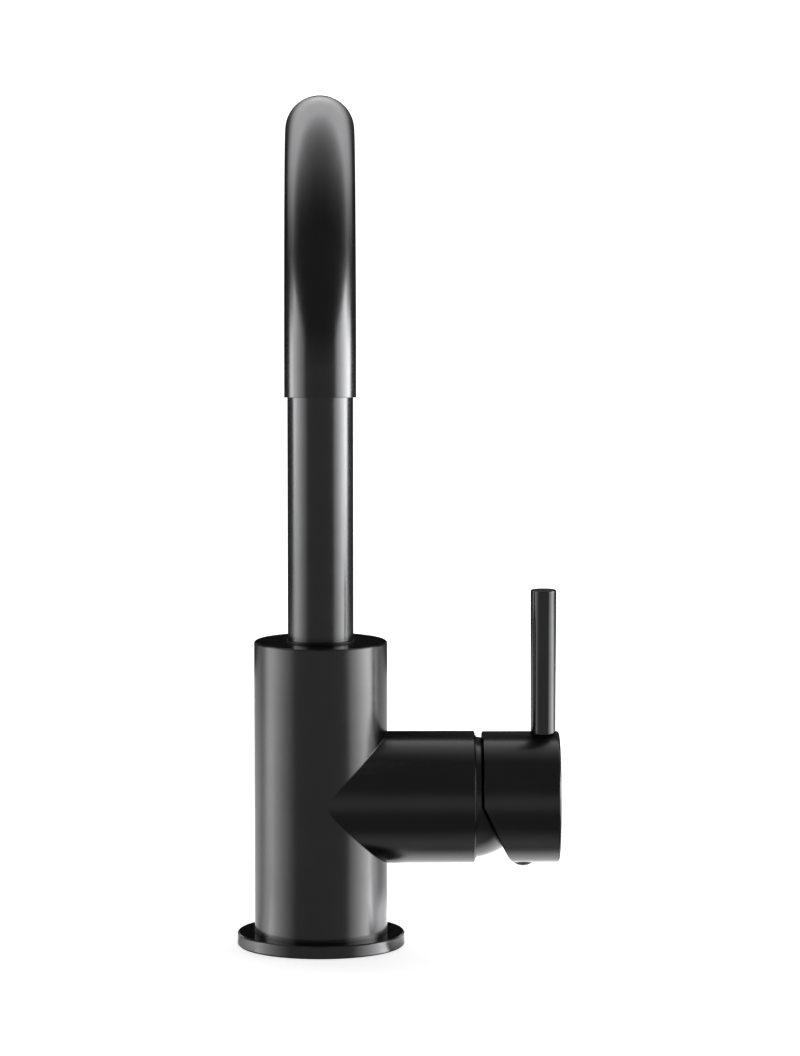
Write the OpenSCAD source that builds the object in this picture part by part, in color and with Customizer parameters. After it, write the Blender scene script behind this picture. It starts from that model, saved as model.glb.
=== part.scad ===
// Gooseneck basin mixer with a swivel spout and a side lever.
// Millimetres. The origin is the centre of the base flange's underside, on the deck.
// +Z points up, the spout reaches towards -Y and the lever's housing towards +X.

/* [Body] */
// Diameter of the upright column
body_d = 45; // [44.5:0.1:48]
// Height of the column's flat top above the deck
body_h = 103.8; // [98:0.1:120]
// Bevel on the column's sharp edges
body_edge = 0.4; // [0.2:0.1:0.6]
// Height of the side housing's axis above the deck
axis_h = 50.4; // [46:0.1:56]
// Reach of the side housing from the column's axis to its open end
side_reach = 52.1; // [50:0.1:58]
// How much smaller across the side housing is than the column
housing_step = 0.2; // [0.1:0.1:0.6]

/* [Base] */
// How far the base flange stands out round the column
flange_reach = 5.9; // [4:0.1:10]
// Height of the base flange
flange_h = 4.4; // [3:0.1:8]
// Distance between the two hose inlets
inlet_spacing = 18; // [17:0.5:19]
// Diameter of the drilled hole for a hose thread
hose_hole_d = 9; // [8:0.1:9.4]
// Depth of a hose thread
hose_hole_l = 14; // [10:0.5:18]
// Diameter of the drilled hole for the fixing stud's thread
stud_hole_d = 6.8; // [5:0.1:8]
// Depth of the fixing stud's thread
stud_hole_l = 16; // [10:0.5:20]

/* [Spout] */
// Height of the top of the arch above the deck
spout_top_h = 290; // [260:1:330]
// Outer diameter of the spout tube
tube_d = 22.2; // [21:0.1:25]
// Wall thickness of the spout tube
tube_wall = 1.2; // [0.9:0.1:1.5]
// Radius of the arch along the tube's centre line
bend_r = 75.5; // [60:0.5:85]
// Turn of the arch in degrees
bend_angle = 175.2; // [150:0.1:180]
// Straight length between the arch and the outlet
outlet_straight = 10; // [9.5:0.5:40]

/* [Handle] */
// Gap between the housing and the handle
handle_gap = 2.5; // [2.3:0.1:4]
// Length of the handle along its axis
handle_l = 26.2; // [25.5:0.1:32]
// How much smaller across the handle is than the housing
handle_step = 0.3; // [0:0.1:0.8]
// Rounding of the handle's outer edge
handle_edge = 1; // [0.4:0.1:2]
// Tilt of the handle from closed to fully open in degrees
tilt_max = 25; // [18:1:25]
// Slope of the cut under the handle in degrees
heel_angle = 28.5; // [26:0.5:30]
// Start of that cut below the handle's axis
heel_drop = 4; // [3:0.5:4.5]
// Height of the lever's top above the deck
lever_top_h = 121.1; // [95:0.1:150]
// Diameter of the lever where it meets the handle
lever_foot_d = 8.4; // [7:0.1:9]
// Diameter of the lever at its top
lever_top_d = 8.7; // [7:0.1:10]
// Distance from the handle's outer end to the lever's axis
lever_inset = 5.5; // [5.2:0.1:7]
// Diameter of the plug that covers the handle's screw
plug_d = 6; // [5:0.1:6.4]
// How far the domed plug stands out
plug_proud = 1.4; // [0.4:0.1:1.6]

/* [Cartridge] */
// Outer diameter of the cartridge's shell
shell_d = 34.8; // [34:0.1:35]
// Distance from the lever's pivot to the ball that drives the disc
ball_arm = 11.5; // [11.3:0.1:11.6]
// Across the flats of the square spindle
spindle_af = 8; // [7:0.1:8]
// Diameter of the spindle's pivot pin
pin_d = 4; // [3:0.1:4]
// Diameter of the lower ball of the spindle
ball_d = 5; // [4.6:0.1:5]
// Diameter of the moving ceramic disc
moving_disc_d = 25; // [24:0.1:25.4]
// Thickness of each ceramic disc
disc_h = 3; // [2.6:0.1:3]
// Wall of the side housing round the retaining nut's thread
thread_wall = 3.45; // [3.4:0.05:3.9]

/* [Hidden] */
$fn = 72;

// Overrun of every cut past the face that it opens
cut = 1;
// Radial clearance of pieces that are fixed in each other
fixed_c = 0.05;
// Radial clearance of pieces that turn in each other
run_c = 0.05;
// Side clearance of flat sliding faces
slide_c = 0.1;
// Number of straight steps in a rounded edge
edge_steps = 5;

// Column and side housing
body_r = body_d / 2;
housing_r = (body_d - housing_step) / 2;
// Distance from the lever's pivot back to the housing's open end
pivot_back = 2.1;
pivot_x = side_reach - pivot_back;

// Spout socket and what sits in it
spigot_step = 5.2;
spigot_r = (tube_d - spigot_step) / 2;
spigot_wall = 3;
spigot_bore_r = spigot_r - spigot_wall;
socket_depth = 33.8;
socket_floor_h = body_h - socket_depth;
glide_flange_h = 0.5;
glide_flange_lip = 0.4;
glide_sleeve_h = 3;
glide_sleeve_wall = 2;
foot_h = body_h + glide_flange_h + run_c;
lower_ring_h = 2.4;
lower_ring_wall = 1.25;
floor_gap = 0.3;
plug_in_l = 14;
seal_d = 1.8;
seal_groove_w = 2.2;
lower_seal_up = 6.5;
upper_seal_up = 12;
retain_groove_depth = 1.6;
retain_groove_w = 5;
retain_up = 20;
retain_h = socket_floor_h + retain_up;
retain_hole_r = 2.5;
dog_r = 2.2;
dog_gap = 0.35;
dog_l = 1.8;
retain_sunk = 2.5;
hex_socket_af = 2.5;
hex_socket_l = 2.5;

// Waterways
outlet_way_r = 3.8;
riser_way_r = 4.5;
inlet_way_r = 3.2;
inlet_riser_r = 3.4;
inlet_up = 6;
inlet_back = 4;
stud_forward = 12;

// Seal in the underside
seal_edge = 2.7;
base_seal_w = 2.4;
base_seal_h = 1.75;
base_groove_c = 0.1;

// Spout route and aerator
tube_r = tube_d / 2;
tube_bore_r = tube_r - tube_wall;
arch_h = spout_top_h - tube_r - bend_r;
bend_swell = 0.01;
bend_lap = 0.4;
bush_sunk = 0.3;
bush_l = 8.6;
bush_wall = 0.65;
bush_ledge_l = 0.9;
bush_ledge_w = 1.6;
bush_bore_r = tube_bore_r - fixed_c - bush_wall;
cage_sunk = 0.8;
cage_r = bush_bore_r - fixed_c;
cage_wall = 1;
cage_lip = 0.6;
cage_lip_l = 0.4;
washer_h = 0.8;
washer_c = 0.05;
cage_end = bush_sunk + bush_l - bush_ledge_l - washer_h - 2 * washer_c;
insert_r = cage_r - cage_wall - fixed_c;
grille_h = 2;
grille_rim = 0.5;
cell_pitch = 2.2;
cell_web = 0.35;
cell_rings = 4;
diffuser_h = 1.2;
diffuser_up = 2.6;
diffuser_hole_r = 0.45;
diffuser_rows = [8, 14, 20];
screen_h = 0.4;
screen_up = 1.6;
screen_hole_r = 0.35;
screen_rows = [6, 12, 18, 24];

// Cartridge, measured along the side housing from the column's axis
shell_r = shell_d / 2;
base_h = 2.9;
base_spigot_h = 2;
axial_c = 0.05;
film = 0.05;
chamber_back = 25.5;
chamber_x = pivot_x - chamber_back;
base_x = chamber_x + 2 * axial_c;
spigot_x = base_x + base_h;
fixed_disc_x = spigot_x + base_spigot_h;
moving_disc_x = fixed_disc_x + disc_h + film;
driver_x = moving_disc_x + disc_h;
shell_wall = 1.8;
shell_bore_r = shell_r - shell_wall;
shell_shoulder_back = 4;
shell_shoulder_x = pivot_x - shell_shoulder_back;
shell_plate = 1.9;
shell_top_out = 2;
shell_top_x = pivot_x + shell_top_out;
neck_bore_r = 12;
neck_wall = 1.2;
port_seal_d = 1.3;
port_seal_gap = 0.25;
outlet_port_r = 3.3;
peg_r = 1.5;
peg_l = 2.5;
peg_side = 12;
peg_down = 6;
port_inner_r = 5.9;
port_outer_r = 8.5;
port_pocket_r = 11;
port_from = 20;
port_to = 70;
disc_outlet_r = 2.6;
mixing_r = 4.6;
mixing_depth = 1.5;
// Share of the ball's arc length that the moving disc travels
drive_share = 0.983;
disc_travel = drive_share * ball_arm * tilt_max * PI / 180;
// The disc lies half its travel below the axis when the handle is closed
disc_rest = disc_travel / 2;
moving_disc_r = moving_disc_d / 2;
lug_w = 3;
lug_depth = 1.4;
lug_h = 1.6;
driver_top_back = 10;
driver_top_x = pivot_x - driver_top_back;
rail_l = 3;
rail_in = 3;
rail_out = 6;
rail_half = 4.4;
ball_r = ball_d / 2;
ball_slot_c = 0.15;
rotor_low_back = 9.6;
rotor_low_x = pivot_x - rotor_low_back;
rotor_flange_r = shell_bore_r - 4 * run_c;
rotor_top_out = 4;
rotor_top_x = pivot_x + rotor_top_out;
rotor_r = neck_bore_r - run_c;
window_half = 7.2;
rail_slot_l = 3.2;
rail_slot_low = 5;
rail_slot_high = 10.2;
rotor_seal_d = 1.6;
rotor_seal_back = 4.4;
rotor_seal_w = 1.9;
pin_half_l = 10.7;
bar_low = 5;
bar_end = 26;
arm_r = 1.9;

// Retaining nut and dome
nut_r = housing_r - thread_wall;
nut_h = 5.4;
nut_slot_w = 3;
nut_slot_h = 2;
nut_slot_depth = 2.4;
thread_run_out = 0.8;
collar_proud = 0.45;
collar_wall = 1.55;
collar_r = housing_r - collar_wall;
collar_sunk = 1.95;
dome_step = 0.25;
dome_r = collar_r - dome_step;
dome_wall = 1.2;
dome_opening = 52;
cavity_c = 0.8;
cavity_r = dome_r + cavity_c;

// Handle, measured from the pivot
handle_r = housing_r - handle_step / 2;
handle_near = pivot_back + handle_gap;
handle_far = handle_near + handle_l;
handle_near_edge = 0.3;
hub_r = 8.6;
hub_near = 15.5;
hub_sunk = 1.5;
lever_x = pivot_x + handle_far - lever_inset;
lever_seat = 1;
lever_stud_r = 2.45;
lever_stud_l = 6.5;
lever_edge = 0.4;
screw_out = 18.6;
grub_r = 2.45;
plug_r = plug_d / 2;
plug_sunk = 3;
socket_end_gap = 0.5;

// Lays children on the side housing's axis, x along it from the column.
// Their own X becomes Y, their Y becomes Z and their Z becomes X.
module on_side(x) {
    translate([x, 0, axis_h]) rotate([90, 0, 90]) children();
}

// Puts children in the arch's own plane, turning from the riser over the top
module in_arch() {
    translate([0, -bend_r, arch_h]) rotate([90, 0, 90]) children();
}

// Starts children at the end of the arch, their Z along the flow
module after_arch() {
    in_arch() rotate(bend_angle) translate([bend_r, 0, 0]) rotate([-90, 0, 0]) children();
}

// Starts children at the outlet's mouth, their Z up the tube
module in_outlet(depth) {
    in_arch() rotate(bend_angle) translate([bend_r, outlet_straight, 0])
        rotate([90, 0, 0]) translate([0, 0, depth]) children();
}

module ring(outer_r, inner_r, h) {
    linear_extrude(h) difference() {
        circle(outer_r);
        circle(inner_r);
    }
}

// Round bar with the same bevel at both ends
module bevelled_bar(r, h, bevel) {
    rotate_extrude() polygon([
        [0, 0], [r - bevel, 0], [r, bevel], [r, h - bevel], [r - bevel, h], [0, h]
    ]);
}

// Round bar with a bevel at its foot and a rounded edge at its top
module rounded_bar(foot_r, top_r, h, bevel, edge) {
    rotate_extrude() polygon(concat(
        [[0, 0], [foot_r - bevel, 0], [foot_r, bevel]],
        [for (i = [0 : edge_steps])
            let (a = 90 * i / edge_steps)
            [top_r - edge + edge * cos(a), h - edge + edge * sin(a)]],
        [[0, h]]
    ));
}

module seal_ring(middle_r, section_d) {
    rotate_extrude() translate([middle_r, 0]) circle(d = section_d);
}

// Groove round a shaft, centred at height z
module groove(z, shaft_r, depth, w) {
    translate([0, 0, z - w / 2]) ring(shaft_r + cut, shaft_r - depth, w);
}

// Curved slot about the axis between two angles
module arc_slot(inner_r, outer_r, from, to, h) {
    rotate(from) rotate_extrude(angle = to - from)
        translate([inner_r, 0]) square([outer_r - inner_r, h]);
}

// The two inlet places of the cartridge, in on_side's frame
module at_inlets() {
    for (side = [-1, 1])
        translate([side * inlet_spacing / 2, inlet_up, 0]) children();
}

// The two locating pegs of the cartridge, in on_side's frame
module at_pegs() {
    for (side = [-1, 1])
        translate([side * peg_side, -peg_down, 0]) children();
}

module spout_socket() {
    translate([0, 0, socket_floor_h]) cylinder(r = spigot_r + run_c, h = socket_depth + cut);
    translate([0, 0, body_h - glide_sleeve_h])
        cylinder(r = spigot_r + glide_sleeve_wall + fixed_c, h = glide_sleeve_h + cut);
    translate([0, 0, retain_h]) rotate([-90, 0, 0])
        cylinder(r = retain_hole_r, h = body_r + cut);
}

module cartridge_chamber() {
    on_side(chamber_x)
        cylinder(r = shell_r + fixed_c, h = side_reach - chamber_x + cut);
    on_side(shell_shoulder_x - thread_run_out)
        cylinder(r = nut_r + fixed_c, h = side_reach - shell_shoulder_x + thread_run_out + cut);
    on_side(side_reach - collar_sunk)
        cylinder(r = collar_r + fixed_c, h = collar_sunk + cut);
    on_side(chamber_x - peg_l - fixed_c) at_pegs()
        cylinder(r = peg_r + fixed_c, h = peg_l + cut);
}

module waterways() {
    // Mixed water, from the cartridge back to the column and up to the spout
    on_side(0) cylinder(r = outlet_way_r, h = chamber_x + cut);
    translate([0, 0, axis_h - riser_way_r])
        cylinder(r = riser_way_r, h = socket_floor_h + cut - axis_h + riser_way_r);
    // Hot and cold water, from the hoses up and across to the cartridge
    on_side(-inlet_back) at_inlets()
        cylinder(r = inlet_way_r, h = chamber_x + inlet_back + cut);
    for (side = [-1, 1]) translate([-inlet_back, side * inlet_spacing / 2, -cut]) {
        cylinder(d = hose_hole_d, h = hose_hole_l + cut);
        cylinder(r = inlet_riser_r, h = axis_h + inlet_up + inlet_riser_r + cut);
    }
}

module body() {
    color([0.13, 0.13, 0.14]) difference() {
        union() {
            bevelled_bar(body_r, body_h, body_edge);
            on_side(0) bevelled_bar(housing_r, side_reach, body_edge);
        }
        spout_socket();
        cartridge_chamber();
        waterways();
        translate([stud_forward, 0, -cut]) cylinder(d = stud_hole_d, h = stud_hole_l + cut);
        translate([0, 0, -cut]) ring(
            body_r - seal_edge + base_groove_c,
            body_r - seal_edge - base_seal_w - base_groove_c,
            base_seal_h + cut
        );
    }
}

module base_flange() {
    inner_r = body_r + 2 * fixed_c;
    outer_r = body_r + flange_reach;
    color([0.14, 0.14, 0.15]) rotate_extrude() polygon([
        [inner_r, 0], [outer_r - body_edge, 0], [outer_r, body_edge],
        [outer_r, flange_h - body_edge], [outer_r - body_edge, flange_h], [inner_r, flange_h]
    ]);
}

module base_seal() {
    color([0.08, 0.08, 0.08])
        ring(body_r - seal_edge, body_r - seal_edge - base_seal_w, base_seal_h);
}

module upper_glide_ring() {
    color([0.09, 0.09, 0.09]) {
        translate([0, 0, body_h - glide_sleeve_h])
            ring(spigot_r + glide_sleeve_wall, spigot_r + run_c, glide_sleeve_h + glide_flange_h);
        translate([0, 0, body_h])
            ring(tube_r + glide_flange_lip, spigot_r + run_c, glide_flange_h);
    }
}

module lower_glide_ring() {
    color([0.85, 0.85, 0.82]) translate([0, 0, socket_floor_h])
        ring(spigot_r, spigot_r - lower_ring_wall, lower_ring_h);
}

module spout_retaining_screw() {
    tip_y = spigot_r - retain_groove_depth + dog_gap;
    end_y = body_r - retain_sunk;
    color([0.6, 0.6, 0.62]) translate([0, tip_y, retain_h]) rotate([-90, 0, 0]) difference() {
        union() {
            cylinder(r = dog_r, h = end_y - tip_y);
            translate([0, 0, dog_l])
                cylinder(r = retain_hole_r - fixed_c, h = end_y - tip_y - dog_l);
        }
        translate([0, 0, end_y - tip_y - hex_socket_l])
            cylinder(d = hex_socket_af / cos(30), h = hex_socket_l + cut, $fn = 6);
    }
}

// Solid run of the spout's route, longer at both ends by extra.
// Each straight stretch is a hair thinner than the bend and ends inside it.
module spout_run(r, extra) {
    straight_r = r - bend_swell;
    translate([0, 0, foot_h - extra])
        cylinder(r = straight_r, h = arch_h - foot_h + extra + bend_lap);
    in_arch() rotate_extrude(angle = bend_angle) translate([bend_r, 0]) circle(r);
    after_arch() translate([0, 0, -bend_lap])
        cylinder(r = straight_r, h = bend_lap + outlet_straight + extra);
}

module spout_tube() {
    color([0.13, 0.13, 0.14]) difference() {
        spout_run(tube_r, 0);
        spout_run(tube_bore_r, cut);
    }
}

module spout_spigot() {
    tip_h = socket_floor_h + floor_gap;
    shoulder_h = socket_floor_h + lower_ring_h + run_c;
    color([0.72, 0.58, 0.3]) difference() {
        union() {
            translate([0, 0, tip_h])
                cylinder(r = spigot_r - lower_ring_wall - run_c, h = foot_h + plug_in_l - tip_h);
            translate([0, 0, shoulder_h]) cylinder(r = spigot_r, h = foot_h - shoulder_h);
            translate([0, 0, foot_h]) cylinder(r = tube_bore_r - fixed_c, h = plug_in_l);
        }
        translate([0, 0, tip_h - cut])
            cylinder(r = spigot_bore_r, h = foot_h + plug_in_l - tip_h + 2 * cut);
        for (up = [lower_seal_up, upper_seal_up])
            groove(socket_floor_h + up, spigot_r, seal_d + fixed_c, seal_groove_w);
        groove(retain_h, spigot_r, retain_groove_depth, retain_groove_w);
    }
}

module spout_seal(up) {
    color([0.06, 0.06, 0.06]) translate([0, 0, socket_floor_h + up])
        seal_ring(spigot_r - seal_d / 2, seal_d);
}

module upper_spout_seal() {
    spout_seal(upper_seal_up);
}

module lower_spout_seal() {
    spout_seal(lower_seal_up);
}

module aerator_bush() {
    color([0.72, 0.58, 0.3]) in_outlet(bush_sunk) {
        ring(tube_bore_r - fixed_c, bush_bore_r, bush_l);
        translate([0, 0, bush_l - bush_ledge_l])
            ring(tube_bore_r - fixed_c, bush_bore_r - bush_ledge_w, bush_ledge_l);
    }
}

module aerator_washer() {
    color([0.06, 0.06, 0.06]) in_outlet(cage_end + washer_c)
        ring(cage_r, bush_bore_r - bush_ledge_w, washer_h);
}

module aerator_cage() {
    color([0.16, 0.16, 0.17]) in_outlet(cage_sunk) {
        ring(cage_r, cage_r - cage_wall, cage_end - cage_sunk);
        ring(cage_r, cage_r - cage_wall - cage_lip, cage_lip_l);
    }
}

// Honeycomb plate that straightens the jet
module aerator_grille() {
    cell_r = (cell_pitch - cell_web) / 2 / cos(30);
    row_h = cell_pitch * sin(60);
    color([0.2, 0.2, 0.21]) in_outlet(cage_sunk + cage_lip_l) linear_extrude(grille_h) difference() {
        circle(insert_r);
        for (row = [-cell_rings : cell_rings], col = [-cell_rings : cell_rings]) {
            x = (col + (row % 2 == 0 ? 0 : 0.5)) * cell_pitch;
            y = row * row_h;
            if (norm([x, y]) + cell_r + grille_rim <= insert_r)
                translate([x, y]) rotate(30) circle(cell_r, $fn = 6);
        }
    }
}

// Plate with rings of evenly spaced round holes
module sieve_plate(r, h, hole_r, rows) {
    count = len(rows);
    difference() {
        cylinder(r = r, h = h);
        for (k = [0 : count - 1], i = [0 : rows[k] - 1])
            rotate(360 * i / rows[k]) translate([r * (k + 1) / (count + 0.5), 0, -cut])
                cylinder(r = hole_r, h = h + 2 * cut);
    }
}

module aerator_diffuser() {
    color([0.85, 0.85, 0.82])
        in_outlet(cage_sunk + cage_lip_l + diffuser_up)
            sieve_plate(insert_r, diffuser_h, diffuser_hole_r, diffuser_rows);
}

module aerator_screen() {
    color([0.7, 0.7, 0.72])
        in_outlet(cage_sunk + cage_lip_l + diffuser_up + screen_up)
            sieve_plate(insert_r, screen_h, screen_hole_r, screen_rows);
}

module cartridge_base() {
    color([0.3, 0.3, 0.32]) on_side(base_x) difference() {
        union() {
            cylinder(r = shell_r, h = base_h);
            cylinder(r = shell_bore_r - 2 * fixed_c, h = base_h + base_spigot_h);
            at_pegs() translate([0, 0, -peg_l]) cylinder(r = peg_r, h = peg_l + base_h);
        }
        translate([0, 0, -cut]) cylinder(r = outlet_port_r, h = base_h + base_spigot_h + 2 * cut);
        at_inlets() translate([0, 0, -cut]) cylinder(r = inlet_way_r, h = base_h + cut);
        translate([0, 0, base_h - cut]) {
            arc_slot(port_inner_r, port_pocket_r, port_from, port_to, base_spigot_h + 2 * cut);
            arc_slot(port_inner_r, port_pocket_r, 180 - port_to, 180 - port_from,
                base_spigot_h + 2 * cut);
        }
        port_seal_groove(outlet_port_r);
        at_inlets() port_seal_groove(inlet_way_r);
    }
}

// Groove for a port's seal, open to the chamber's floor
module port_seal_groove(port_r) {
    translate([0, 0, -cut]) ring(
        port_r + port_seal_gap + port_seal_d + fixed_c,
        port_r + port_seal_gap,
        port_seal_d + fixed_c + cut
    );
}

module cartridge_port_seals() {
    color([0.06, 0.06, 0.06]) on_side(base_x + port_seal_d / 2) {
        seal_ring(outlet_port_r + port_seal_gap + (port_seal_d + fixed_c) / 2, port_seal_d);
        at_inlets()
            seal_ring(inlet_way_r + port_seal_gap + (port_seal_d + fixed_c) / 2, port_seal_d);
    }
}

module cartridge_shell() {
    low_x = spigot_x + axial_c;
    color([0.9, 0.9, 0.88]) difference() {
        union() {
            on_side(low_x) cylinder(r = shell_r, h = shell_shoulder_x - low_x);
            on_side(low_x) cylinder(r = neck_bore_r + neck_wall, h = shell_top_x - low_x);
        }
        on_side(low_x - cut)
            cylinder(r = shell_bore_r, h = shell_shoulder_x - shell_plate - low_x + cut);
        on_side(low_x) cylinder(r = neck_bore_r, h = shell_top_x - low_x + cut);
    }
}

module fixed_disc() {
    color([0.93, 0.92, 0.88]) on_side(fixed_disc_x) difference() {
        cylinder(r = shell_bore_r - 2 * fixed_c, h = disc_h);
        translate([0, 0, -cut]) {
            cylinder(r = disc_outlet_r, h = disc_h + 2 * cut);
            arc_slot(port_inner_r, port_outer_r, port_from, port_to, disc_h + 2 * cut);
            arc_slot(port_inner_r, port_outer_r, 180 - port_to, 180 - port_from, disc_h + 2 * cut);
        }
    }
}

// The driver's two lugs, which turn the moving disc, grown by extra on each side
module lugs(h, extra) {
    for (side = [-1, 1])
        translate([side * (moving_disc_r - lug_depth / 2), 0, h / 2])
            cube([lug_depth + 2 * extra, lug_w + 2 * extra, h], center = true);
}

module moving_disc() {
    color([0.93, 0.92, 0.88]) on_side(moving_disc_x) translate([0, -disc_rest, 0]) difference() {
        cylinder(r = moving_disc_r, h = disc_h);
        translate([0, 0, -cut]) cylinder(r = mixing_r, h = mixing_depth + cut);
        translate([0, 0, disc_h - lug_h - fixed_c]) lugs(lug_h + fixed_c + cut, fixed_c);
    }
}

module disc_driver() {
    plate_h = driver_top_x - driver_x;
    slot = 2 * (ball_r + ball_slot_c);
    color([0.2, 0.35, 0.6]) on_side(driver_x) difference() {
        union() {
            translate([0, -disc_rest, 0]) {
                cylinder(r = moving_disc_r, h = plate_h);
                intersection() {
                    translate([0, 0, -lug_h]) lugs(lug_h + plate_h, 0);
                    translate([0, 0, -lug_h]) cylinder(r = moving_disc_r, h = lug_h + plate_h);
                }
            }
            for (side = [-1, 1])
                translate([side * (rail_in + rail_out) / 2, 0, (plate_h + rail_l) / 2])
                    cube([rail_out - rail_in, 2 * rail_half, plate_h + rail_l], center = true);
        }
        translate([-slot / 2, -slot / 2, -cut]) cube([slot, slot, plate_h + 2 * cut]);
    }
}

module rotor() {
    flange_h = shell_shoulder_x - shell_plate - axial_c - rotor_low_x;
    rotor_h = rotor_top_x - rotor_low_x;
    window_w = spindle_af + 2 * slide_c;
    slot_w = 2 * (rail_out + slide_c);
    color([0.88, 0.88, 0.86]) on_side(rotor_low_x) difference() {
        union() {
            cylinder(r = rotor_flange_r, h = flange_h);
            cylinder(r = rotor_r, h = rotor_h);
        }
        translate([-window_w / 2, -window_half, -cut])
            cube([window_w, 2 * window_half, rotor_h + 2 * cut]);
        translate([-slot_w / 2, -rail_slot_low, -cut])
            cube([slot_w, rail_slot_low + rail_slot_high, rail_slot_l + cut]);
        translate([0, 0, pivot_x - rotor_low_x]) {
            rotate([0, 90, 0]) cylinder(d = pin_d + 2 * fixed_c, h = 2 * (rotor_r + cut), center = true);
            groove(-rotor_seal_back, rotor_r, rotor_seal_d + run_c + fixed_c, rotor_seal_w);
        }
    }
}

module rotor_seal() {
    color([0.06, 0.06, 0.06]) on_side(pivot_x - rotor_seal_back)
        seal_ring(rotor_r - run_c - rotor_seal_d / 2, rotor_seal_d);
}

module spindle_pin() {
    color([0.75, 0.75, 0.77]) on_side(pivot_x) rotate([0, 90, 0])
        cylinder(d = pin_d, h = 2 * pin_half_l, center = true);
}

module spindle() {
    color([0.72, 0.6, 0.35]) on_side(pivot_x) difference() {
        union() {
            translate([-spindle_af / 2, -spindle_af / 2, -bar_low])
                cube([spindle_af, spindle_af, bar_low + bar_end]);
            translate([0, 0, -ball_arm]) cylinder(r = arm_r, h = ball_arm - bar_low + cut);
            translate([0, 0, -ball_arm]) sphere(r = ball_r);
        }
        rotate([0, 90, 0]) cylinder(d = pin_d + 2 * run_c, h = spindle_af + 2 * cut, center = true);
    }
}

module retaining_nut() {
    color([0.72, 0.58, 0.3]) on_side(shell_shoulder_x + axial_c) difference() {
        ring(nut_r, neck_bore_r + neck_wall + 2 * fixed_c, nut_h);
        for (i = [0 : 3])
            rotate(90 * i) translate([nut_r - nut_slot_depth, -nut_slot_w / 2, nut_h - nut_slot_h])
                cube([nut_slot_depth + cut, nut_slot_w, nut_slot_h + cut]);
    }
}

module dome_cover() {
    collar_from = pivot_back - collar_sunk + axial_c;
    color([0.13, 0.13, 0.14]) on_side(pivot_x) difference() {
        union() {
            translate([0, 0, collar_from])
                cylinder(r = collar_r, h = pivot_back + collar_proud - collar_from);
            intersection() {
                sphere(r = dome_r);
                translate([0, 0, collar_from]) cylinder(r = dome_r + cut, h = dome_r);
            }
        }
        sphere(r = dome_r - dome_wall);
        cylinder(r = dome_r * sin(dome_opening), h = dome_r + cut);
    }
}

// Wedge under the handle that leaves room for the housing when it tilts
module heel_cut() {
    slope = tan(heel_angle);
    low = handle_r + cut;
    translate([pivot_x, 0, axis_h]) rotate([90, 0, 0])
        linear_extrude(2 * (handle_r + cut), center = true) polygon([
            [handle_near - cut * slope, cut - heel_drop],
            [handle_near + (low - heel_drop) * slope, -low],
            [handle_near - cut * slope, -low]
        ]);
}

module handle() {
    socket_w = spindle_af + 2 * fixed_c;
    color([0.13, 0.13, 0.14]) difference() {
        on_side(pivot_x) {
            difference() {
                translate([0, 0, handle_near])
                    rounded_bar(handle_r, handle_r, handle_l, handle_near_edge, handle_edge);
                sphere(r = cavity_r);
            }
            translate([0, 0, hub_near]) cylinder(r = hub_r, h = cavity_r + hub_sunk - hub_near);
        }
        heel_cut();
        on_side(pivot_x + hub_near - cut) translate([-socket_w / 2, -socket_w / 2, 0])
            cube([socket_w, socket_w, bar_end - hub_near + socket_end_gap + cut]);
        translate([lever_x, 0, axis_h + handle_r - lever_seat])
            cylinder(d = lever_foot_d + 2 * fixed_c, h = lever_seat + cut);
        translate([lever_x, 0, axis_h + handle_r - lever_seat - lever_stud_l - fixed_c])
            cylinder(r = lever_stud_r + fixed_c, h = lever_stud_l + lever_seat);
        translate([pivot_x + screw_out, 0, axis_h - hub_r - cut])
            cylinder(r = grub_r + fixed_c, h = hub_r + cut);
        translate([pivot_x + screw_out, 0, axis_h - handle_r - cut])
            cylinder(r = plug_r + fixed_c, h = handle_r - hub_r + cut / 2);
    }
}

module lever() {
    seat_h = axis_h + handle_r - lever_seat;
    color([0.2, 0.2, 0.21]) translate([lever_x, 0, seat_h]) {
        rounded_bar(lever_foot_d / 2, lever_top_d / 2, lever_top_h - seat_h, lever_edge, lever_edge);
        translate([0, 0, -lever_stud_l]) cylinder(r = lever_stud_r, h = lever_stud_l + lever_seat);
    }
}

module handle_grub_screw() {
    grub_l = hub_r - spindle_af / 2 - 2 * fixed_c;
    color([0.55, 0.55, 0.57]) translate([pivot_x + screw_out, 0, axis_h - hub_r]) difference() {
        cylinder(r = grub_r, h = grub_l);
        translate([0, 0, -cut])
            cylinder(d = hex_socket_af / cos(30), h = hex_socket_l + cut, $fn = 6);
    }
}

module handle_screw_plug() {
    cap_r = (plug_r * plug_r + plug_proud * plug_proud) / 2 / plug_proud;
    low_h = axis_h - handle_r - plug_proud;
    color([0.07, 0.07, 0.07]) translate([pivot_x + screw_out, 0, low_h]) intersection() {
        cylinder(r = plug_r, h = plug_proud + plug_sunk);
        translate([0, 0, cap_r]) sphere(r = cap_r);
    }
}

body();
base_flange();
base_seal();
upper_glide_ring();
lower_glide_ring();
spout_retaining_screw();
spout_tube();
spout_spigot();
upper_spout_seal();
lower_spout_seal();
aerator_bush();
aerator_washer();
aerator_cage();
aerator_grille();
aerator_diffuser();
aerator_screen();
cartridge_base();
cartridge_port_seals();
cartridge_shell();
retaining_nut();
fixed_disc();
moving_disc();
disc_driver();
rotor();
rotor_seal();
spindle_pin();
spindle();
dome_cover();
handle();
lever();
handle_grub_screw();
handle_screw_plug();
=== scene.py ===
"""Looks of a gooseneck basin mixer in satin gunmetal black: materials, floor, studio light and camera."""

import math

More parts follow.
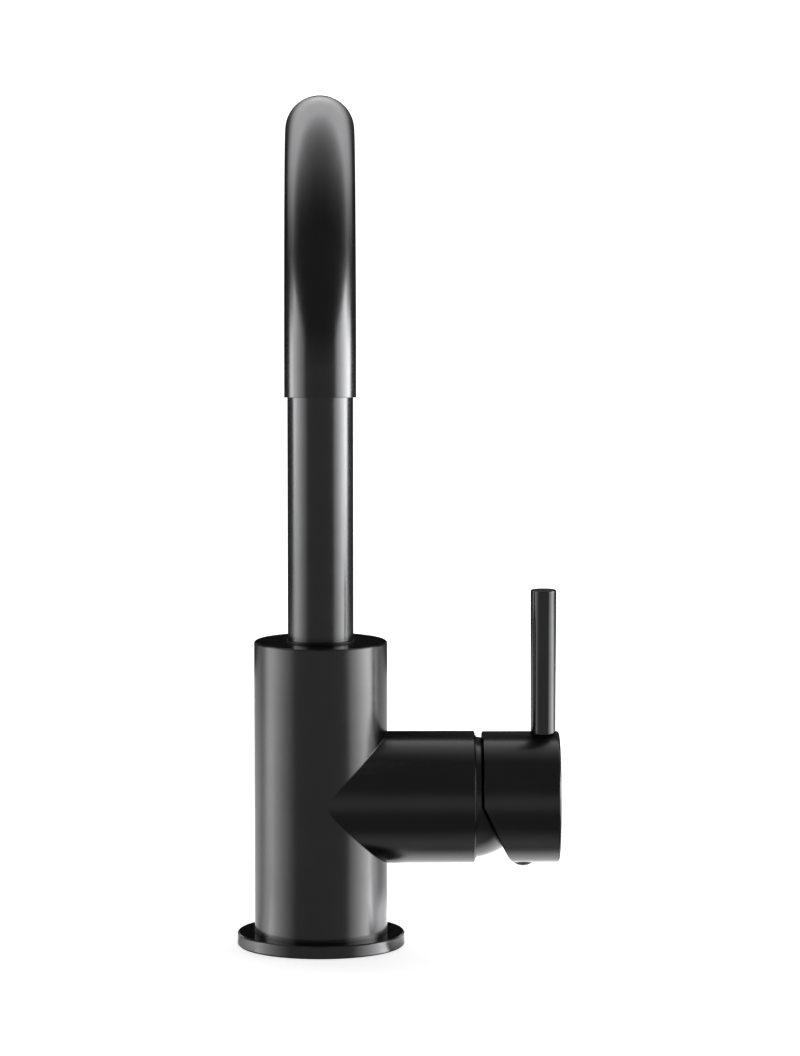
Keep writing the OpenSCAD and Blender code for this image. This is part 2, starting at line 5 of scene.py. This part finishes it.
import bmesh
import bpy
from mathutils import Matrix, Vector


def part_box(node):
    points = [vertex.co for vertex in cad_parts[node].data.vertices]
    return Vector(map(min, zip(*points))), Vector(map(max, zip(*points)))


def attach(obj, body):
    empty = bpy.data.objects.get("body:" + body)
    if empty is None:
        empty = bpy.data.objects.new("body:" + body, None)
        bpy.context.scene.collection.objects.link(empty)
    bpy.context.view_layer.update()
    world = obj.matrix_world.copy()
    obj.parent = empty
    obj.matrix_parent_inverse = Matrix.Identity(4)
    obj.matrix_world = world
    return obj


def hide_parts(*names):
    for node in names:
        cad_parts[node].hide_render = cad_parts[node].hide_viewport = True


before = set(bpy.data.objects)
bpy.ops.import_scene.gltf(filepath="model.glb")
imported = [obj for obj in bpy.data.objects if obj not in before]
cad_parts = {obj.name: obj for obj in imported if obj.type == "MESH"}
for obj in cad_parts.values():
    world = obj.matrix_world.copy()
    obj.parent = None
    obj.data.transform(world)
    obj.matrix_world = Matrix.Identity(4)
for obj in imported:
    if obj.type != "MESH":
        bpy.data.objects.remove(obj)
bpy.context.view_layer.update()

# Sizes taken from the frame, in metres
SPOUT_LOW, SPOUT_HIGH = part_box("spout_tube")
HANDLE_LOW, HANDLE_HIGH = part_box("handle")
PLUG_LOW, PLUG_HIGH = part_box("handle_screw_plug")
FLANGE_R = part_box("base_flange")[1].x
TUBE_R = SPOUT_HIGH.x
HANDLE_R = (HANDLE_HIGH.z - HANDLE_LOW.z) / 2
HOUSING_AXIS_H = (HANDLE_LOW.z + HANDLE_HIGH.z) / 2

# The cut under the handle and the plug's head as the photograph shows them, in metres
HEEL_DROP = 0.0006
HEEL_SLOPE = 0.474
HEEL_CHAMFER = 0.0005
PLUG_HEAD_R = 0.0035

# How near two points, and how flat two faces, have to be to count as one
SAME_POINT = 0.000001
SAME_FACE_DEG = 0.5
# The angle from which an edge is drawn sharp
SHARP_DEG = 30

# The photograph's frame and the camera fitted to it
PHOTO_W, PHOTO_H = 800, 1056
COLUMN_AXIS_PX = 319.9
FOCAL_PX = 5286.8
CAMERA_BACK = 1.771
CAMERA_HEIGHT = 0.343
CAMERA_PITCH_DEG = 6.469
SENSOR_MM = 36.0
CLIP_NEAR, CLIP_FAR = 0.05, 200

X, Y, Z = 0, 1, 2
WHITE = (1, 1, 1, 1)
TABLE_GREY = 0.8

# Middle part of a noise's values, which nearly all of it lies in
NOISE_LOW, NOISE_HIGH = 0.3, 0.7
# How much a streak is drawn out along the way that a piece was brushed
STREAK_SHARE = 0.02

# The dark coating: its grey, its roughness, and its brightness seen almost along its surface
COATING_GREY = 0.16
COATING_ROUGH = 0.22
LEVER_ROUGH = 0.11
GRAZING_TINT = 0.45
BLUE_SHARE = 1.02
# What varies the coating: fine streaks, wide clouds, small handling marks, and rubbed edges that are lighter
# partly from wear and partly as a painted edge highlight
STREAK_SCALE, CLOUD_SCALE, MARK_SCALE = 2600, 55, 260
STREAK_DEPTH = 0.0000005
STREAK_SHADE, CLOUD_SHADE = 0.02, 0.05
STREAK_ROUGH, CLOUD_ROUGH, MARK_ROUGH = 0.012, 0.012, 0.008
WEAR_AND_SHEEN_LIGHTER, WORN_SMOOTHER = 0.35, 0.03
# How much smoother the turned flat tops are than the brushed round sides
TURNED_FACE_SMOOTHER = 0.09
# Edges are rounder on column and spout than on housing and handle, and change between these two x
COLUMN_EDGE_ROUND, HOUSING_EDGE_ROUND = 0.0004, 0.0001
EDGE_CHANGE_X = (0.024, 0.034)
# Likeness of softened and true normal on a face and on a full edge
FACE_LIKENESS, EDGE_LIKENESS = 0.99, 0.85

# Moulded, machined and ground surfaces
GRAIN_SCALE, UNEVEN_SCALE = 1200, 150
GRAIN_DEPTH = 0.00001
GRAIN_ROUGH, UNEVEN_ROUGH = 0.04, 0.05
UNEVEN_SHARE = 0.06
SMALL_EDGE_ROUND = 0.00015


def make_camera():
    data = bpy.data.cameras.new("photo_camera")
    data.sensor_width = SENSOR_MM
    data.lens = FOCAL_PX * SENSOR_MM / PHOTO_H
    data.clip_start, data.clip_end = CLIP_NEAR, CLIP_FAR
    camera = bpy.data.objects.new("photo_camera", data)
    bpy.context.scene.collection.objects.link(camera)
    yaw = math.atan((PHOTO_W / 2 - COLUMN_AXIS_PX) / FOCAL_PX)
    camera.location = (0, -CAMERA_BACK, CAMERA_HEIGHT)
    camera.rotation_euler = (math.radians(90 - CAMERA_PITCH_DEG), 0, -yaw)
    bpy.context.scene.camera = camera


class Nodes:
    """Short calls that add and join shader nodes in one material's or world's tree."""

    def __init__(self, owner):
        owner.use_nodes = True
        self.tree = owner.node_tree
        self.tree.nodes.clear()

    def add(self, kind, settings=None, **inputs):
        node = self.tree.nodes.new(kind)
        for name, value in (settings or {}).items():
            setattr(node, name, value)
        for name, value in inputs.items():
            self.put(node.inputs[name.replace("_", " ")], value)
        return node

    def put(self, socket, value):
        if isinstance(value, bpy.types.NodeSocket):
            self.tree.links.new(value, socket)
        else:
            socket.default_value = value

    def surface(self, shader, kind="ShaderNodeOutputMaterial"):
        """Makes shader what the material or world shows."""
        self.tree.links.new(shader.outputs[0], self.add(kind).inputs["Surface"])

    def math(self, operation, first, second=0.0):
        node = self.add("ShaderNodeMath", {"operation": operation})
        self.put(node.inputs[0], first)
        self.put(node.inputs[1], second)
        return node.outputs[0]

    def times(self, first, *others):
        for other in others:
            first = self.math("MULTIPLY", first, other)
        return first

    def plus(self, first, *others):
        for other in others:
            first = self.math("ADD", first, other)
        return first

    def minus(self, first, second):
        return self.math("SUBTRACT", first, second)

    def distance(self, first, second):
        """The square root of the sum of two squares."""
        return self.math("SQRT", self.plus(self.times(first, first), self.times(second, second)))

    def spread(self, value, low, high, to_low, to_high, smooth=False):
        """Maps value from low..high to to_low..to_high, held at the ends."""
        node = self.add("ShaderNodeMapRange", {"clamp": True})
        if smooth:
            node.interpolation_type = "SMOOTHSTEP"
        for socket, number in zip(node.inputs, (value, low, high, to_low, to_high)):
            self.put(socket, number)
        return node.outputs[0]

    def vary(self, noise, to_low, to_high):
        """A number that wanders between to_low and to_high with the noise."""
        return self.spread(noise, NOISE_LOW, NOISE_HIGH, to_low, to_high)

    def mix(self, share, first, second):
        """A number between first and second."""
        node = self.add("ShaderNodeMix")
        for index, value in ((0, share), (2, first), (3, second)):
            self.put(node.inputs[index], value)
        return node.outputs[0]

    def mix_vectors(self, share, first, second):
        """A vector between first and second."""
        node = self.add("ShaderNodeMix", {"data_type": "VECTOR"})
        for index, value in ((0, share), (4, first), (5, second)):
            self.put(node.inputs[index], value)
        return node.outputs[1]

    def own_place(self):
        """The point on the piece, in metres, as the piece stands at rest."""
        return self.add("ShaderNodeTexCoord").outputs["Object"]

    def normal(self):
        return self.add("ShaderNodeNewGeometry").outputs["Normal"]

    def split(self, vector):
        return self.add("ShaderNodeSeparateXYZ", Vector=vector).outputs

    def place(self):
        """x, y and z of the point on the piece."""
        return self.split(self.own_place())

    def vector(self, x, y, z):
        return self.add("ShaderNodeCombineXYZ", X=x, Y=y, Z=z).outputs[0]

    def colour(self, red, green, blue):
        return self.add("ShaderNodeCombineColor", Red=red, Green=green, Blue=blue).outputs[0]

    def noise(self, vector, scale, detail=4.0, rough=0.6):
        node = self.add("ShaderNodeTexNoise", Vector=vector, Scale=scale, Detail=detail, Roughness=rough)
        return node.outputs["Fac"]

    def brushed_along(self, axis, x, y, z):
        """Coordinates in which a noise has fine streaks that run along one axis."""
        shares = [1.0, 1.0, 1.0]
        shares[axis] = STREAK_SHARE
        return self.vector(*(self.times(value, share) for value, share in zip((x, y, z), shares)))

    def edges(self, radius):
        """A normal softened along the piece's edges, and a share that rises from 0 on faces to 1 on edges."""
        soft = self.add("ShaderNodeBevel", {"samples": 4}, Radius=radius).outputs[0]
        likeness = self.add("ShaderNodeVectorMath", {"operation": "DOT_PRODUCT"})
        self.put(likeness.inputs[0], soft)
        self.put(likeness.inputs[1], self.normal())
        return soft, self.spread(likeness.outputs["Value"], FACE_LIKENESS, EDGE_LIKENESS, 0.0, 1.0)


def column_grain(n):
    """Upright streaks on the column, and lengthways streaks on the side housing."""
    x, y, z = n.place()
    from_axis = n.math("ABSOLUTE", n.minus(z, HOUSING_AXIS_H))
    on_housing = n.math("GREATER_THAN", x, from_axis)
    return n.mix_vectors(on_housing, n.brushed_along(Z, x, y, z), n.brushed_along(X, x, y, z))


def spout_grain(n):
    """Streaks that follow the tube up the riser, over the arch and down to the outlet."""
    x, y, z = n.place()
    arch_y = (SPOUT_LOW.y + SPOUT_HIGH.y) / 2
    bend_r = (SPOUT_HIGH.y - SPOUT_LOW.y) / 2 - TUBE_R
    arch_z = SPOUT_HIGH.z - TUBE_R - bend_r
    from_centre = n.minus(y, arch_y)
    above = n.math("MAXIMUM", n.minus(z, arch_z), 0.0)
    below = n.math("MINIMUM", n.minus(z, arch_z), 0.0)
    along = n.plus(n.times(n.math("ARCTAN2", above, from_centre), bend_r), below)
    return n.vector(x, n.distance(from_centre, above), n.times(along, STREAK_SHARE))


def upright_grain(n):
    return n.brushed_along(Z, *n.place())


def lengthways_grain(n):
    return n.brushed_along(X, *n.place())


def painted_rim_shade(n, soft_normal):
    """Painted shade: the rim of the housing's end is darker than the faces beside it, and more so in its
    upper part.
    """
    low_z, high_z = HOUSING_AXIS_H - 0.0085, HOUSING_AXIS_H - 0.0035
    darker_below, darker_above = 0.3, 0.75
    turned = n.split(soft_normal)[X]
    off_side = n.spread(turned, 0.04, 0.2, 0.0, 1.0)
    off_end = n.spread(turned, 0.85, 0.95, 1.0, 0.0)
    x, y, z = n.place()
    near_end = n.spread(x, 0.036, 0.04, 0.0, 1.0)
    darker = n.spread(z, low_z, high_z, darker_below, darker_above)
    return n.minus(1.0, n.times(off_side, off_end, near_end, darker))


def painted_gap_shade(n, soft_normal):
    """Painted shade of the gap: faces of the handle that look back at the housing are almost black."""
    almost_black = 0.05
    return n.spread(n.split(n.normal())[X], -0.2, -0.4, 1.0, almost_black)


def satin_black(name, grain, rough=COATING_ROUGH, shaded=None):
    """Dark metallic coating over brushed brass: streaks, faint cloudiness, handling marks, and rubbed edges
    that are lighter partly from wear and partly as a painted edge highlight.
    """
    material = bpy.data.materials.new(name)
    n = Nodes(material)
    streaks = n.noise(grain(n), STREAK_SCALE, detail=3.0, rough=0.7)
    cloud = n.noise(n.own_place(), CLOUD_SCALE, detail=3.0)
    marks = n.noise(n.own_place(), MARK_SCALE, detail=2.0)
    edge_round = n.spread(n.place()[X], *EDGE_CHANGE_X, COLUMN_EDGE_ROUND, HOUSING_EDGE_ROUND)
    soft_normal, edge = n.edges(edge_round)
    # Edges are lighter: partly wear, partly a painted edge highlight
    wear_and_edge_sheen = n.times(edge, n.spread(marks, 0.35, 0.65, 0.4, 1.0))
    shade = n.plus(n.vary(cloud, 1 - CLOUD_SHADE, 1 + CLOUD_SHADE),
                   n.vary(streaks, -STREAK_SHADE, STREAK_SHADE))
    grey = n.times(n.plus(shade, n.times(wear_and_edge_sheen, WEAR_AND_SHEEN_LIGHTER)), COATING_GREY)
    # shaded, where given, paints shade into the coating's grey
    if shaded:
        grey = n.times(grey, shaded(n, soft_normal))
    uneven = n.plus(n.vary(cloud, rough - CLOUD_ROUGH, rough + CLOUD_ROUGH),
                    n.vary(streaks, -STREAK_ROUGH, STREAK_ROUGH), n.vary(marks, -MARK_ROUGH, MARK_ROUGH))
    turned_face = n.spread(n.split(n.normal())[Z], 0.93, 0.99, 0.0, TURNED_FACE_SMOOTHER)
    roughness = n.minus(n.minus(uneven, n.times(wear_and_edge_sheen, WORN_SMOOTHER)), turned_face)
    bump = n.add("ShaderNodeBump", Height=streaks, Distance=STREAK_DEPTH, Strength=0.6, Normal=soft_normal)
    n.surface(n.add("ShaderNodeBsdfPrincipled", Base_Color=n.colour(grey, grey, n.times(grey, BLUE_SHARE)),
                    Metallic=1.0, Roughness=roughness, Normal=bump.outputs[0],
                    Specular_Tint=(GRAZING_TINT, GRAZING_TINT, GRAZING_TINT, 1)))
    return material


def plain(name, colour, rough, metallic=0.0, shine=0.5):
    """A moulded, machined or ground surface with fine grain and a little unevenness."""
    material = bpy.data.materials.new(name)
    n = Nodes(material)
    fine = n.noise(n.own_place(), GRAIN_SCALE)
    uneven = n.noise(n.own_place(), UNEVEN_SCALE, detail=3.0)
    soft_normal, edge = n.edges(SMALL_EDGE_ROUND)
    share = n.plus(n.vary(uneven, 1 - UNEVEN_SHARE, 1.0), n.vary(fine, -UNEVEN_SHARE / 3, 0.0),
                   n.times(edge, UNEVEN_SHARE))
    roughness = n.plus(n.vary(uneven, rough - UNEVEN_ROUGH, rough + UNEVEN_ROUGH),
                       n.vary(fine, -GRAIN_ROUGH, GRAIN_ROUGH))
    bump = n.add("ShaderNodeBump", Height=fine, Distance=GRAIN_DEPTH, Strength=0.5, Normal=soft_normal)
    shaded = n.colour(*(n.times(share, part) for part in colour))
    n.surface(n.add("ShaderNodeBsdfPrincipled", Base_Color=shaded, Metallic=metallic, Roughness=roughness,
                    Normal=bump.outputs[0], Specular_IOR_Level=shine))
    return material


def solid(name, points, faces):
    """A closed mesh object, smooth except across its sharp edges."""
    mesh = bpy.data.meshes.new(name)
    mesh.from_pydata(points, [], faces)
    mesh.shade_smooth()
    mesh.set_sharp_from_angle(angle=math.radians(SHARP_DEG))
    piece = bpy.data.objects.new(name, mesh)
    bpy.context.scene.collection.objects.link(piece)
    return piece


def make_heel_wedge(near, top):
    """What the cut under the handle takes away: all that lies on the housing's side of a slanted plane."""
    over = 0.001
    reach = HANDLE_R + over
    bottom = HOUSING_AXIS_H - reach
    outline = [(near - over, top + over / HEEL_SLOPE), (near + (top - bottom) * HEEL_SLOPE, bottom),
               (near - over, bottom)]
    points = [(x, side * reach, z) for side in (-1, 1) for x, z in outline]
    return solid("heel_wedge", points, [(2, 1, 0), (3, 4, 5), (1, 4, 3, 0), (2, 5, 4, 1), (0, 3, 5, 2)])


def make_handle():
    """The frame's handle with the photograph's longer cut underneath, whose outer edge is chamfered."""
    near, top = HANDLE_LOW.x, HOUSING_AXIS_H - HEEL_DROP
    wedge = make_heel_wedge(near, top)
    blank = bpy.data.objects.new("handle_blank", bpy.data.meshes.new("handle_blank"))
    bpy.context.scene.collection.objects.link(blank)
    work = bmesh.new()
    work.from_mesh(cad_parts["handle"].data)
    bmesh.ops.remove_doubles(work, verts=work.verts, dist=SAME_POINT)
    bmesh.ops.dissolve_limit(work, angle_limit=math.radians(SAME_FACE_DEG), verts=work.verts,
                             edges=work.edges)
    work.to_mesh(blank.data)
    work.clear()
    cut = blank.modifiers.new("heel", "BOOLEAN")
    cut.operation, cut.solver, cut.object = "DIFFERENCE", "EXACT", wedge
    work.from_mesh(blank.evaluated_get(bpy.context.evaluated_depsgraph_get()).to_mesh())
    bpy.data.objects.remove(blank)
    bpy.data.objects.remove(wedge)

    def on_rim(vertex):
        x, y, z = vertex.co
        on_cut = abs(x - near - (top - z) * HEEL_SLOPE) < 2 * SAME_POINT
        return on_cut and math.hypot(y, z - HOUSING_AXIS_H) > HANDLE_R - 50 * SAME_POINT

    rim = [edge for edge in work.edges
           if len(edge.link_faces) == 2 and on_rim(edge.verts[0]) and on_rim(edge.verts[1])]
    bmesh.ops.bevel(work, geom=rim, offset=HEEL_CHAMFER, offset_type="OFFSET", segments=1, profile=0.5,
                    affect="EDGES")
    work.verts.index_update()
    handle = solid("handle_shell", [tuple(vertex.co) for vertex in work.verts],
                   [[vertex.index for vertex in face.verts] for face in work.faces])
    work.free()
    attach(handle, "lever_handle")
    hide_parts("handle")
    return handle


def make_plug():
    """The plug under the handle, with a flat domed head that is wider than its stem."""
    axis, seat = (PLUG_LOW.x + PLUG_HIGH.x) / 2, HANDLE_LOW.z
    stem_r, proud = (PLUG_HIGH.x - PLUG_LOW.x) / 2, seat - PLUG_LOW.z
    cap_r = (PLUG_HEAD_R ** 2 + proud ** 2) / 2 / proud
    steps, around = 10, 64
    turns = [math.asin(PLUG_HEAD_R / cap_r) * step / steps for step in range(1, steps + 1)]
    profile = [(cap_r * math.sin(turn), PLUG_LOW.z + cap_r * (1 - math.cos(turn))) for turn in turns]
    profile += [(stem_r, seat), (stem_r, PLUG_HIGH.z)]
    points = [(axis, 0, PLUG_LOW.z)]
    for r, z in profile:
        points += [(axis + r * math.cos(2 * math.pi * i / around), r * math.sin(2 * math.pi * i / around), z)
                   for i in range(around)]
    faces = [(0, 1 + (i + 1) % around, 1 + i) for i in range(around)]
    for ring in range(len(profile) - 1):
        low, high = 1 + ring * around, 1 + (ring + 1) * around
        faces += [(low + i, low + (i + 1) % around, high + (i + 1) % around, high + i) for i in range(around)]
    faces.append(tuple(high + i for i in range(around)))
    plug = solid("plug_cap", points, faces)
    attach(plug, "lever_handle")
    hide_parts("handle_screw_plug")
    return plug


def dress():
    """Makes the two pieces that stand for nodes of the frame, and gives every piece its finish."""
    finishes = {
        # the column's material paints shade on the rim of the housing's end
        satin_black("satin_black_column", column_grain, shaded=painted_rim_shade): ["body"],
        satin_black("satin_black_flange", upright_grain): ["base_flange"],
        satin_black("satin_black_spout", spout_grain): ["spout_tube"],
        satin_black("satin_black_dome", lengthways_grain): ["dome_cover"],
        # the handle's material paints the gap's shade on its faces that look back at the housing
        satin_black("satin_black_handle", lengthways_grain, shaded=painted_gap_shade): [
            "handle", "handle_shell"],
        satin_black("satin_black_lever", upright_grain, rough=LEVER_ROUGH): ["lever"],
        plain("machined_brass", (0.62, 0.42, 0.16), rough=0.3, metallic=1.0): [
            "spout_spigot", "aerator_bush", "retaining_nut", "spindle"],
        plain("stainless_steel", (0.55, 0.55, 0.56), rough=0.28, metallic=1.0): [
            "spout_retaining_screw", "spindle_pin", "handle_grub_screw", "aerator_screen"],
        plain("lapped_ceramic", (0.85, 0.83, 0.78), rough=0.2): ["fixed_disc", "moving_disc"],
        plain("seal_rubber", (0.02, 0.02, 0.02), rough=0.6): [
            "base_seal", "upper_spout_seal", "lower_spout_seal", "aerator_washer", "cartridge_port_seals",
            "rotor_seal"],
        plain("black_plastic", (0.015, 0.015, 0.015), rough=0.32): ["upper_glide_ring", "handle_screw_plug"],
        plain("plug_plastic", (0.006, 0.006, 0.006), rough=0.45, shine=0.1): ["plug_cap"],
        plain("grille_plastic", (0.08, 0.08, 0.085), rough=0.4): ["aerator_cage", "aerator_grille"],
        plain("white_plastic", (0.8, 0.8, 0.77), rough=0.4): [
            "lower_glide_ring", "aerator_diffuser", "cartridge_shell", "rotor"],
        plain("grey_plastic", (0.15, 0.15, 0.16), rough=0.4): ["cartridge_base"],
        plain("blue_plastic", (0.05, 0.13, 0.4), rough=0.4): ["disc_driver"],
    }
    made = {"handle_shell": make_handle(), "plug_cap": make_plug()}
    for material, names in finishes.items():
        for name in names:
            slots = (made.get(name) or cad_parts[name]).data.materials
            slots.clear()
            slots.append(material)


def sheet_mesh(name, corners):
    """A flat sheet that belongs to the studio."""
    mesh = bpy.data.meshes.new(name)
    mesh.from_pydata(corners, [], [tuple(range(len(corners)))])
    sheet = bpy.data.objects.new(name, mesh)
    bpy.context.scene.collection.objects.link(sheet)
    return sheet


def make_floor():
    """A white table that keeps the object's shadow. Reflections show the white card in its place."""
    reach = 60.0
    near_r, far_r = 4 * FLANGE_R, 14 * FLANGE_R
    corners = [(-reach, -reach, 0), (reach, -reach, 0), (reach, reach, 0), (-reach, reach, 0)]
    floor = sheet_mesh("floor", corners)
    material = bpy.data.materials.new("floor_white")
    n = Nodes(material)
    x, y, z = n.place()
    distance = n.distance(x, y)
    near = n.spread(distance, FLANGE_R, near_r, 0.72, 0.92, smooth=True)
    far = n.spread(distance, near_r, far_r, 0.0, 0.08, smooth=True)
    to_camera = n.add("ShaderNodeLightPath").outputs["Is Camera Ray"]
    glow = n.add("ShaderNodeEmission", Color=WHITE, Strength=n.times(to_camera, n.plus(near, far)))
    cloth = n.add("ShaderNodeBsdfDiffuse", Color=(TABLE_GREY, TABLE_GREY, TABLE_GREY, 1))
    total = n.add("ShaderNodeAddShader")
    n.put(total.inputs[0], glow.outputs[0])
    n.put(total.inputs[1], cloth.outputs[0])
    n.surface(total)
    material.cycles.emission_sampling = "NONE"
    floor.data.materials.append(material)
    floor.visible_glossy = False
    floor.visible_shadow = False


def soft_panel(name, corners, strength):
    """A lit cloth that the camera doesn't see. strength(nodes) gives its brightness."""
    panel = sheet_mesh(name, corners)
    material = bpy.data.materials.new(name)
    n = Nodes(material)
    n.surface(n.add("ShaderNodeEmission", Color=WHITE, Strength=strength(n)))
    panel.data.materials.append(material)
    panel.visible_camera = False
    panel.visible_shadow = False


def side_light(full, peak, upper):
    """The brightness of a side panel: bright behind the object, fading towards the camera."""
    fade_length = 0.81

    def strength(n):
        x, y, z = n.place()
        fading = n.math("EXPONENT", n.math("DIVIDE", n.math("MINIMUM", y, 0.0), fade_length))
        low_before = n.spread(z, -0.08, 0.03, 0.5, 1.0)
        low_behind = n.spread(z, -0.3, -0.12, 0.5, 1.0)
        high_behind = n.spread(z, 0.0, 0.06, 1.0, upper)
        foot_end = n.spread(z, -0.27, -0.235, 0.45, 1.0)
        top_end = n.spread(z, 0.26, 0.5, 1.0, 0.2)
        back_end = n.spread(y, 0.4, 0.6, 1.0, 0.35)
        before = n.times(fading, low_before)
        behind = n.times(low_behind, high_behind, foot_end, top_end, back_end, peak)
        is_behind = n.spread(y, 0.0, 0.25, 0.0, 1.0)
        return n.times(n.mix(is_behind, before, behind), full)
    return strength


def flag_light(n):
    """A black flag whose two outer ends are dimly lit."""
    black, dimly_lit = 0.008, 0.11
    x, y, z = n.place()
    outer = n.spread(n.math("ABSOLUTE", x), 0.03, 0.07, 0.0, dimly_lit)
    lower = n.spread(z, 0.155, 0.2, 1.0, 0.35)
    return n.plus(n.times(outer, lower), black)


def card_light(n):
    """The card's brightness: full in a cone behind the column, dimmer aside, and under the housing a painted
    shadow of the housing that lightens towards the back.
    """
    brightest, fade_length = 2.1, 1.05
    cone_start, nearest_y = 0.018, 0.005
    x, y, z = n.place()
    distance = n.distance(x, y)
    away = n.math("DIVIDE", distance, fade_length)
    fading = n.math("EXPONENT", n.times(away, away, -1.0))
    past_cone = n.minus(n.math("ABSOLUTE", x), cone_start)
    sideways = n.math("DIVIDE", past_cone, n.math("MAXIMUM", y, nearest_y))
    left_to_right = n.spread(x, -0.05, 0.05, 0.75, 1.5)
    far_side = n.mix(n.spread(distance, 0.1, 0.6, 0.0, 1.0), 0.2, left_to_right)
    around = n.plus(n.spread(sideways, 0.85, 1.45, 1.0, 0.45),
                    n.times(n.spread(sideways, 2.0, 4.0, 0.0, 1.0), far_side))
    beside_column = n.spread(x, 0.026, 0.03, 0.0, 1.0)
    before_handle_end = n.spread(x, 0.088, 0.098, 1.0, 0.0)
    close_behind = n.spread(y, 0.058, 0.09, 1.0, 0.0)
    housing_shadow_area = n.math("MINIMUM", n.math("MINIMUM", beside_column, before_handle_end), close_behind)
    # Painted shadow of the housing on the table: dark at its front, lightening towards the back
    rising = n.plus(n.spread(y, -0.014, -0.006, 0.03, 0.26), n.spread(y, -0.006, 0.027, 0.0, 1.37),
                    n.spread(y, 0.027, 0.058, 0.0, 0.4))
    return n.times(fading, n.mix(housing_shadow_area, around, rising), brightest)


def make_lights():
    """Two side panels, a black flag behind the object and a white card in the floor's place."""
    aside, front, back, foot, top = 1.6, -1.44, 0.62, -0.5, 0.72
    for name, x, full, peak, upper in (("left_panel", -aside, 2.8, 2.2, 0.66),
                                       ("right_panel", aside, 5.6, 2.4, 0.52)):
        soft_panel(name, [(x, front, foot), (x, back, foot), (x, back, top), (x, front, top)],
                   side_light(full, peak, upper))

    flag_y, flag_half, middle_half = 0.155, 0.42, 0.05
    flag_foot, middle_foot, flag_top = 0.07, 0.02, 0.31
    outline = [(-flag_half, flag_foot), (-middle_half, flag_foot), (-middle_half, middle_foot),
               (middle_half, middle_foot), (middle_half, flag_foot), (flag_half, flag_foot),
               (flag_half, flag_top), (-flag_half, flag_top)]
    soft_panel("black_flag", [(x, flag_y, z) for x, z in outline], flag_light)

    card_z, card_half, card_back = -0.001, 1.5, 2
    card_front, nearer_front = 0.004, -0.014
    column_half, left_end, handle_end = 0.027, -0.06, 0.09
    outline = [(-card_half, card_front), (left_end, card_front), (left_end, nearer_front),
               (-column_half, nearer_front), (-column_half, card_front), (column_half, card_front),
               (column_half, nearer_front), (handle_end, nearer_front), (handle_end, card_front),
               (card_half, card_front), (card_half, card_back), (-card_half, card_back)]
    soft_panel("white_card", [(x, y, card_z) for x, y in outline], card_light)


def make_world():
    """White to the camera. Reflections show a dim room, a lighter wall in front and a ceiling lit behind."""
    world = bpy.data.worlds.new("studio")
    bpy.context.scene.world = world
    n = Nodes(world)
    x, y, z = n.split(n.add("ShaderNodeTexCoord").outputs["Generated"])

    back_wall, wall_middle_z = 0.005, -0.05
    level = n.spread(n.math("ABSOLUTE", n.minus(z, wall_middle_z)), 0.05, 0.35, 0.15, 0.055, smooth=True)
    wall = n.mix(n.spread(y, -0.2, 0.3, 0.0, 1.0, smooth=True), level, back_wall)
    below = n.plus(wall, n.spread(z, -0.8, -1.0, 0.0, 0.17))

    least_z, rise_rate, overhead, dimmer, ceiling_limit = 0.05, 2.4, 0.2, 0.05, 3.0
    lean = n.math("DIVIDE", y, n.math("MAXIMUM", z, least_z))
    rising = n.minus(n.times(n.math("EXPONENT", n.times(lean, rise_rate)), overhead), dimmer)
    across = n.math("ABSOLUTE", x)
    low_aside = n.spread(across, 0.52, 0.83, 1.0, 0.1)
    high_aside = n.times(n.spread(across, 0.5, 0.8, 1.0, 0.4), n.spread(across, 0.85, 0.95, 1.0, 0.15))
    aside = n.mix(n.spread(z, 0.27, 0.42, 0.0, 1.0), low_aside, high_aside)
    above_wall = n.spread(z, 0.105, 0.3, 0.0, 1.0)
    ceiling = n.times(n.math("MINIMUM", rising, ceiling_limit), aside, above_wall)

    room = n.math("MAXIMUM", below, ceiling)
    to_camera = n.add("ShaderNodeLightPath").outputs["Is Camera Ray"]
    n.surface(n.add("ShaderNodeBackground", Color=WHITE, Strength=n.mix(to_camera, room, 1.0)),
              "ShaderNodeOutputWorld")


make_camera()
dress()
make_floor()
make_lights()
make_world()

bpy.context.scene.view_settings.view_transform = "Standard"
